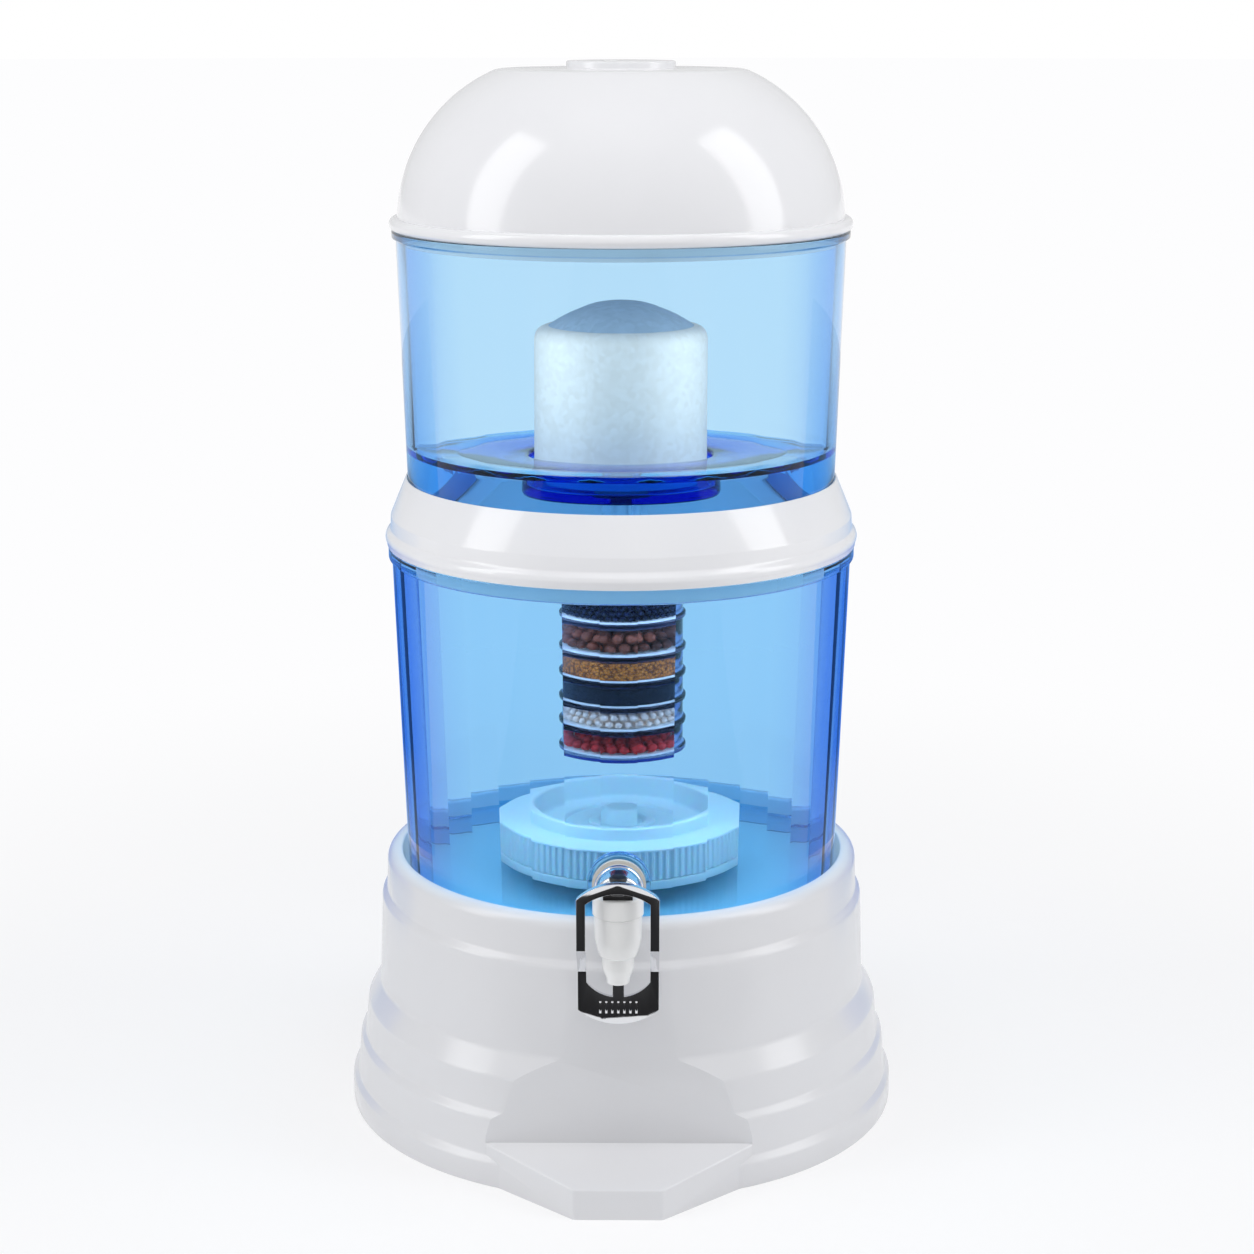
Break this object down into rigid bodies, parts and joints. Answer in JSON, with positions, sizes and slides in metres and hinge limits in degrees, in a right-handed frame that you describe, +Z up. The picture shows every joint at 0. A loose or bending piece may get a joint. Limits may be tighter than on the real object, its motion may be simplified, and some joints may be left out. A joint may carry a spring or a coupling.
{
  "type": "gravity water filter with tap",
  "caption": "Countertop gravity water filter: stacked clear tanks, collar, domed lid, stepped base, ceramic dome filter, hanging mineral cartridge, stone case and a lever tap.",
  "frame": {"origin": "on the tanks' axis, in the plane of the base's foot", "axes": "+Z up, -Y to the front where the tap is, +X to the right seen from the back"},
  "size_m": [0.32, 0.3436, 0.5997],
  "materials": {
    "white_base": "gloss",
    "white_gloss": "gloss",
    "clear_blue": "clear gloss",
    "clear_light_blue": "clear gloss",
    "ceramic": "matt ceramic",
    "natural_plastic": "satin",
    "seal_rubber": "matt",
    "carbon": "matt",
    "clear_cup": "clear gloss",
    "felt": "matt",
    "dark_ball": "gloss",
    "pebble": "matt",
    "grain": "matt",
    "white_ball": "satin",
    "red_ball": "satin",
    "frosted_blue": "frosted",
    "stone": "matt",
    "white_tap": "gloss",
    "chrome": "polished",
    "black_plastic": "satin",
    "spring_steel": "satin"
  },
  "bodies": {
    "base": {"base_stand": "white_base"},
    "lower_tank": {"lower_tank": "clear_blue", "tap_body": "white_tap", "tap_sleeve": "chrome", "tap_outer_washer": "seal_rubber", "tap_inner_washer": "seal_rubber", "tap_nut": "white_gloss", "tap_bonnet": "white_tap", "tap_fulcrum": "black_plastic", "tap_pin": "spring_steel", "tap_spring": "spring_steel"},
    "lever": {"tap_lever": "chrome"},
    "valve_stem": {"tap_stem": "black_plastic", "tap_plug": "seal_rubber"},
    "stone_case": {"stone_case_tray": "frosted_blue", "stone_case_lid": "frosted_blue", "mineral_stones": "stone"},
    "collar": {"collar": "white_gloss"},
    "upper_tank": {"upper_tank": "clear_light_blue", "ceramic_dome": "ceramic", "carbon_core": "carbon", "ceramic_base": "natural_plastic", "ceramic_stem": "natural_plastic", "ceramic_washer": "seal_rubber", "stem_washer": "seal_rubber", "stem_nut": "white_gloss", "cartridge_cap": "clear_cup", "cup_dark": "clear_cup", "cup_pebble": "clear_cup", "cup_grain": "clear_cup", "cup_carbon": "clear_cup", "cup_white": "clear_cup", "cup_red": "clear_cup", "dark_balls": "dark_ball", "brown_pebbles": "pebble", "tan_grains": "grain", "black_carbon": "carbon", "white_balls": "white_ball", "red_balls": "red_ball", "felt_pads": "felt"},
    "lid": {"lid": "white_gloss"}
  },
  "joints": [
    {"name": "tank_lift", "type": "slide", "parent": "base", "child": "lower_tank", "axis": [0, 0, 1], "range_m": [0, 0.06]},
    {"name": "case_lift", "type": "slide", "parent": "lower_tank", "child": "stone_case", "axis": [0, 0, 1], "range_m": [0, 0.03]},
    {"name": "collar_lift", "type": "slide", "parent": "lower_tank", "child": "collar", "axis": [0, 0, 1], "range_m": [0, 0.05]},
    {"name": "upper_tank_lift", "type": "slide", "parent": "collar", "child": "upper_tank", "axis": [0, 0, 1], "range_m": [0, 0.17]},
    {"name": "lid_lift", "type": "slide", "parent": "upper_tank", "child": "lid", "axis": [0, 0, 1], "range_m": [0, 0.11]},
    {"name": "lever_hinge", "type": "hinge", "parent": "lower_tank", "child": "lever", "pos_m": [0, -0.176, 0.1842], "axis": [1, 0, 0], "range_deg": [0, 10], "stiffness_Nm_per_rad": 1, "springref_deg": -8.59},
    {"name": "stem_lift", "type": "slide", "parent": "lower_tank", "child": "valve_stem", "axis": [0, 0, 1], "range_m": [0, 0.0015], "deforming": ["tap_spring"]}
  ],
  "couplings": [
    {"joint": "stem_lift", "follows": "lever_hinge", "m_per_rad": 0.008}
  ]
}
